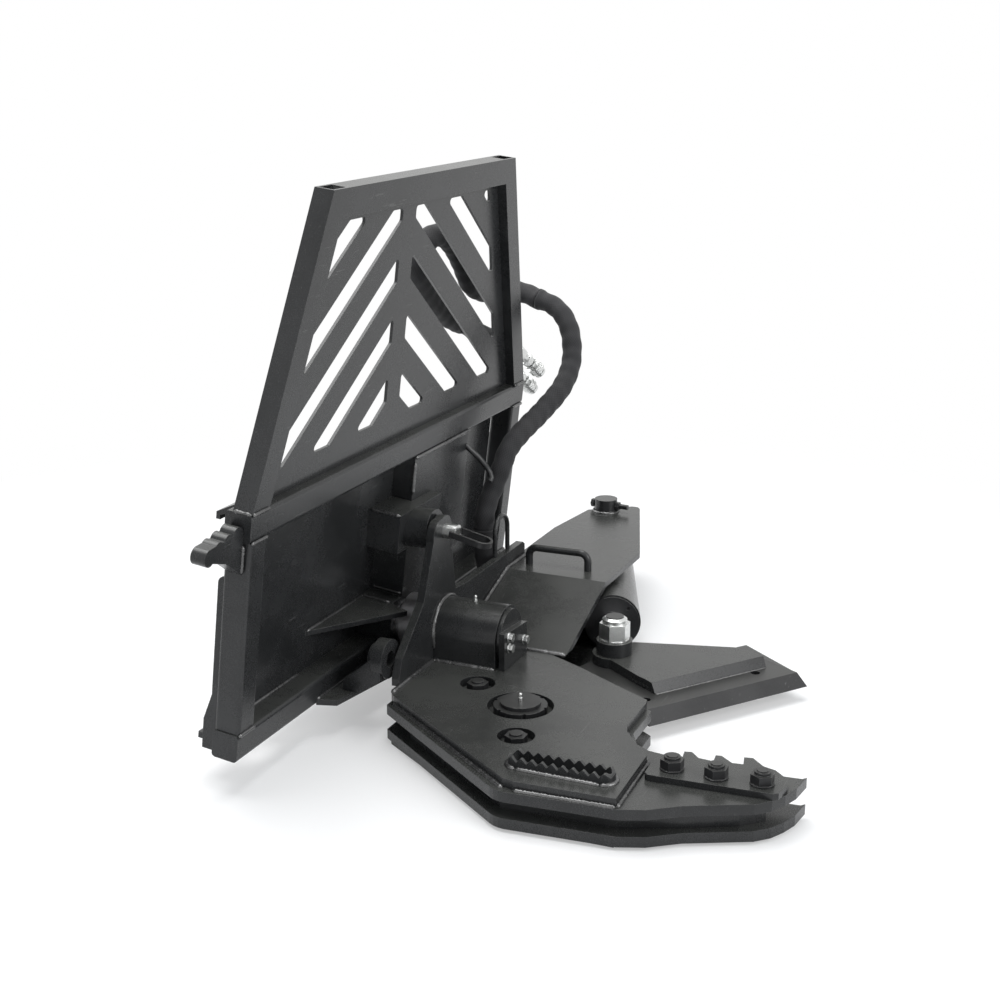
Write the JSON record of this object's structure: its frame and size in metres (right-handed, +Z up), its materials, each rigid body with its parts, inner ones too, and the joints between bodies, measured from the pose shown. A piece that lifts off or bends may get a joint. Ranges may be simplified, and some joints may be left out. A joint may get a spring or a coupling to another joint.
{
  "type": "rotating tree shear",
  "caption": "Skid steer tree shear with one hydraulic blade, a fixed hooked jaw and a turning head on a leaning quick attach frame with a slotted guard.",
  "frame": {"origin": "on the axis of the shear pivot, at the ground under the skid plate", "axes": "+Z up, -Y forward to the jaw tip, +X towards the hydraulic cylinder"},
  "size_m": [1.5378, 1.025, 1.0366],
  "materials": {
    "dark_paint": "satin",
    "black_steel": "satin",
    "bare_steel": "satin",
    "zinc_steel": "satin",
    "chrome_rod": "polished",
    "bronze": "satin",
    "sleeve": "matte",
    "hose_rubber": "matte"
  },
  "bodies": {
    "mount_frame": {"lower_frame": "dark_paint", "frame_end_caps": "dark_paint", "guard_frame": "dark_paint", "guard_grille": "dark_paint", "attach_sheet": "dark_paint", "hook_lip": "dark_paint", "wedge_flange": "dark_paint", "side_ribs": "dark_paint", "mast_plate": "dark_paint", "hub_box": "dark_paint", "upper_gusset": "dark_paint", "lower_gusset": "dark_paint", "lock_sockets": "dark_paint", "turning_shaft": "bare_steel", "shaft_retainer": "zinc_steel", "comb_bracket": "dark_paint", "hose_hook": "dark_paint", "supply_hose": "sleeve", "crossing_hose": "sleeve", "hose_tails": "hose_rubber", "coupler_bodies": "zinc_steel"},
    "shear_head": {"back_plate": "dark_paint", "rear_web": "dark_paint", "cover_plate": "dark_paint", "upper_jaw": "dark_paint", "lower_jaw": "dark_paint", "top_plate": "dark_paint", "skid_plate": "dark_paint", "jaw_spacers": "dark_paint", "turning_housing": "dark_paint", "turning_bush": "bronze", "keeper_plate": "dark_paint", "keeper_bolts": "zinc_steel", "grease_nipples": "zinc_steel", "lift_handle": "dark_paint", "tooth_plate": "dark_paint", "tooth_bolts": "zinc_steel", "grip_loop": "dark_paint", "jaw_bolts": "black_steel", "pivot_pin": "black_steel", "pivot_ring": "black_steel", "base_collar": "dark_paint", "hose_ring": "dark_paint", "head_hose": "sleeve"},
    "blade": {"knife": "black_steel", "blade_body": "dark_paint", "blade_bush": "bronze", "rod_bolt": "zinc_steel", "rod_nut": "zinc_steel"},
    "rod": {"rod_eye": "dark_paint", "piston_rod": "chrome_rod", "piston": "bare_steel"},
    "barrel": {"barrel": "dark_paint", "gland": "black_steel", "base_eye": "dark_paint", "base_pin": "bare_steel"},
    "lock_pin": {"lock_pin": "zinc_steel", "pull_handle": "zinc_steel"},
    "upper_sleeve": {"upper_sleeve": "zinc_steel"},
    "lower_sleeve": {"lower_sleeve": "zinc_steel"}
  },
  "joints": [
    {"name": "head_turn", "type": "hinge", "parent": "mount_frame", "child": "shear_head", "pos_m": [0.196, 0.2, 0.14], "axis": [0, -1, 0], "range_deg": [0, 90], "deforming": ["crossing_hose"]},
    {"name": "blade_close", "type": "hinge", "parent": "shear_head", "child": "blade", "pos_m": [0, 0, 0.05], "axis": [0, 0, -1], "range_deg": [0, 55]},
    {"name": "rod_swing", "type": "hinge", "parent": "blade", "child": "rod", "pos_m": [0.361, -0.054, 0.086], "axis": [0, 0, 1], "range_deg": [0, 65.7]},
    {"name": "cylinder_stroke", "type": "slide", "parent": "rod", "child": "barrel", "axis": [0.9299, 0.3678, 0], "range_m": [0, 0.3016]},
    {"name": "lock_pin_push", "type": "slide", "parent": "shear_head", "child": "lock_pin", "axis": [0, 1, 0], "range_m": [-0.03, 0.014]},
    {"name": "upper_sleeve_pull", "type": "slide", "parent": "mount_frame", "child": "upper_sleeve", "axis": [-0.6667, 0.3333, 0.6667], "range_m": [0, 0.006], "stiffness_N_per_m": 1500, "springref_m": -0.001},
    {"name": "lower_sleeve_pull", "type": "slide", "parent": "mount_frame", "child": "lower_sleeve", "axis": [-0.6667, 0.3333, 0.6667], "range_m": [0, 0.006], "stiffness_N_per_m": 1500, "springref_m": -0.001}
  ],
  "couplings": [
    {"joint": "rod_swing", "follows": "blade_close", "ratio": 1.194},
    {"joint": "cylinder_stroke", "follows": "blade_close", "m_per_rad": 0.31403}
  ]
}
